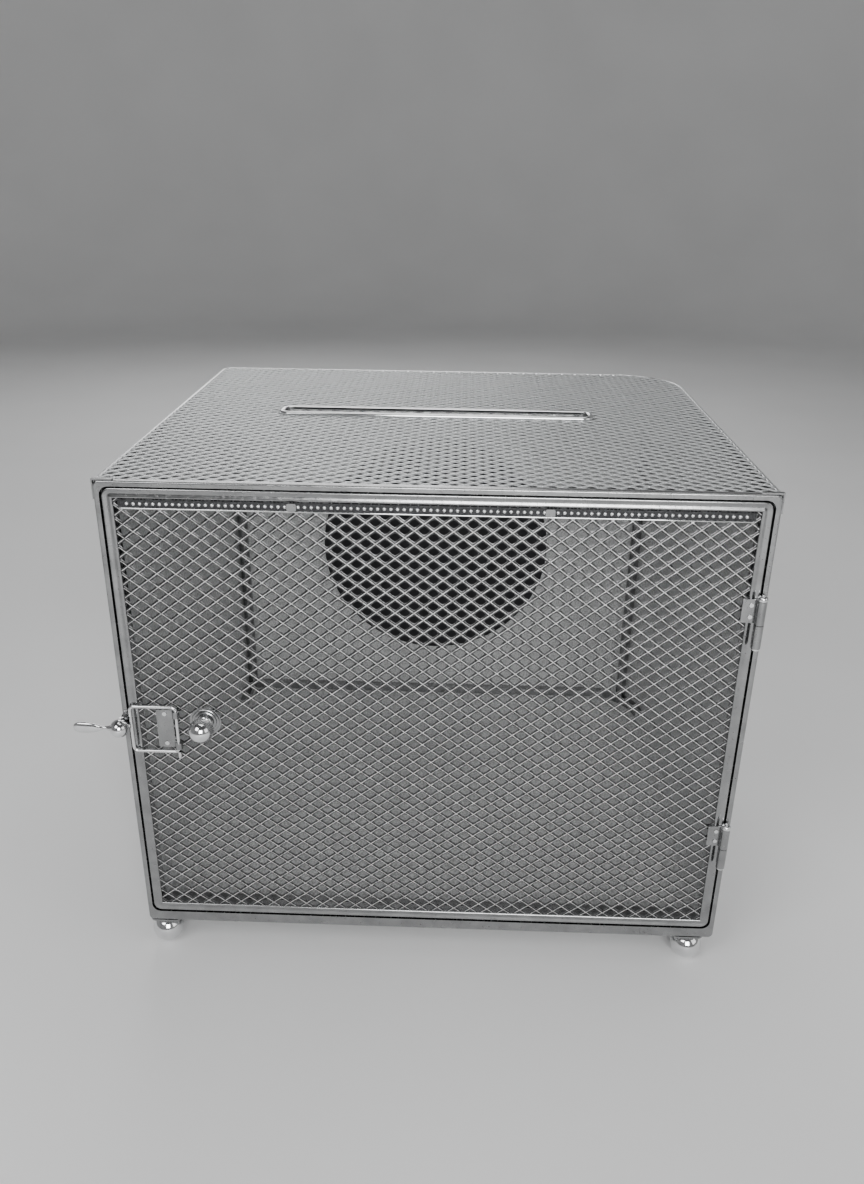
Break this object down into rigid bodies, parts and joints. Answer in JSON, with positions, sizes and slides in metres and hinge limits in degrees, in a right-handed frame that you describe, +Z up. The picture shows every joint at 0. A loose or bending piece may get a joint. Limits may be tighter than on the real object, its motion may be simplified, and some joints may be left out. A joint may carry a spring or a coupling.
{
  "type": "wedding card box",
  "caption": "Mesh cabinet on ball feet with a hinged mesh door, a swinging ball latch, a knob and a long card slot in its top.",
  "frame": {"origin": "centre of the whole box's footprint, on the surface that the feet stand on", "axes": "+Z up, the door faces -Y, the hinges are at +X and the latch is at -X"},
  "size_m": [0.3776, 0.3185, 0.3102],
  "materials": {
    "chrome_trim": "polished chrome plate",
    "silver_mesh": "bright silver plated expanded mesh",
    "silver_liner": "satin silver with a fine grain",
    "steel_frame": "plated steel bar",
    "dark_disc": "matt dark grey"
  },
  "bodies": {
    "cabinet": {"front_frame": "chrome_trim", "corner_caps": "chrome_trim", "stop_frame": "steel_frame", "left_bottom_rail": "steel_frame", "right_bottom_rail": "steel_frame", "rear_bottom_rail": "steel_frame", "left_top_rail": "steel_frame", "right_top_rail": "steel_frame", "rear_top_rail": "steel_frame", "rear_left_post": "steel_frame", "rear_right_post": "steel_frame", "left_mesh": "silver_mesh", "right_mesh": "silver_mesh", "back_mesh": "silver_mesh", "left_liner": "silver_liner", "right_liner": "silver_liner", "back_liner": "silver_liner", "top_mesh": "silver_mesh", "slot_trim": "chrome_trim", "floor_mesh": "silver_mesh", "floor_plate": "silver_liner", "back_disc": "dark_disc", "disc_rim": "chrome_trim", "disc_rivets": "chrome_trim", "front_left_foot": "chrome_trim", "front_right_foot": "chrome_trim", "rear_left_foot": "chrome_trim", "rear_right_foot": "chrome_trim", "foot_plates": "steel_frame", "lower_frame_leaf": "chrome_trim", "upper_frame_leaf": "chrome_trim", "lower_hinge_pin": "chrome_trim", "upper_hinge_pin": "chrome_trim", "ball_catch": "chrome_trim"},
    "door": {"door_frame": "chrome_trim", "door_mesh": "silver_mesh", "bead_strip": "chrome_trim", "bead_wire": "chrome_trim", "mesh_tabs": "chrome_trim", "lower_door_leaf": "chrome_trim", "upper_door_leaf": "chrome_trim", "hinge_rivets": "chrome_trim", "latch_plate": "chrome_trim", "latch_rivets": "chrome_trim", "latch_backplate": "steel_frame", "knob_rosette": "chrome_trim", "door_knob": "chrome_trim", "knob_nut": "chrome_trim"},
    "hasp": {"hasp_loop": "chrome_trim", "hasp_ball": "chrome_trim", "hasp_paddle": "chrome_trim"}
  },
  "joints": [
    {"name": "door_hinge", "type": "hinge", "parent": "cabinet", "child": "door", "pos_m": [0.18473, -0.14515, 0.1651], "axis": [0, 0, 1], "range_deg": [0, 170]},
    {"name": "hasp_hinge", "type": "hinge", "parent": "door", "child": "hasp", "pos_m": [-0.13098, -0.14375, 0.1621], "axis": [0, 0, 1], "range_deg": [0, 130]}
  ]
}
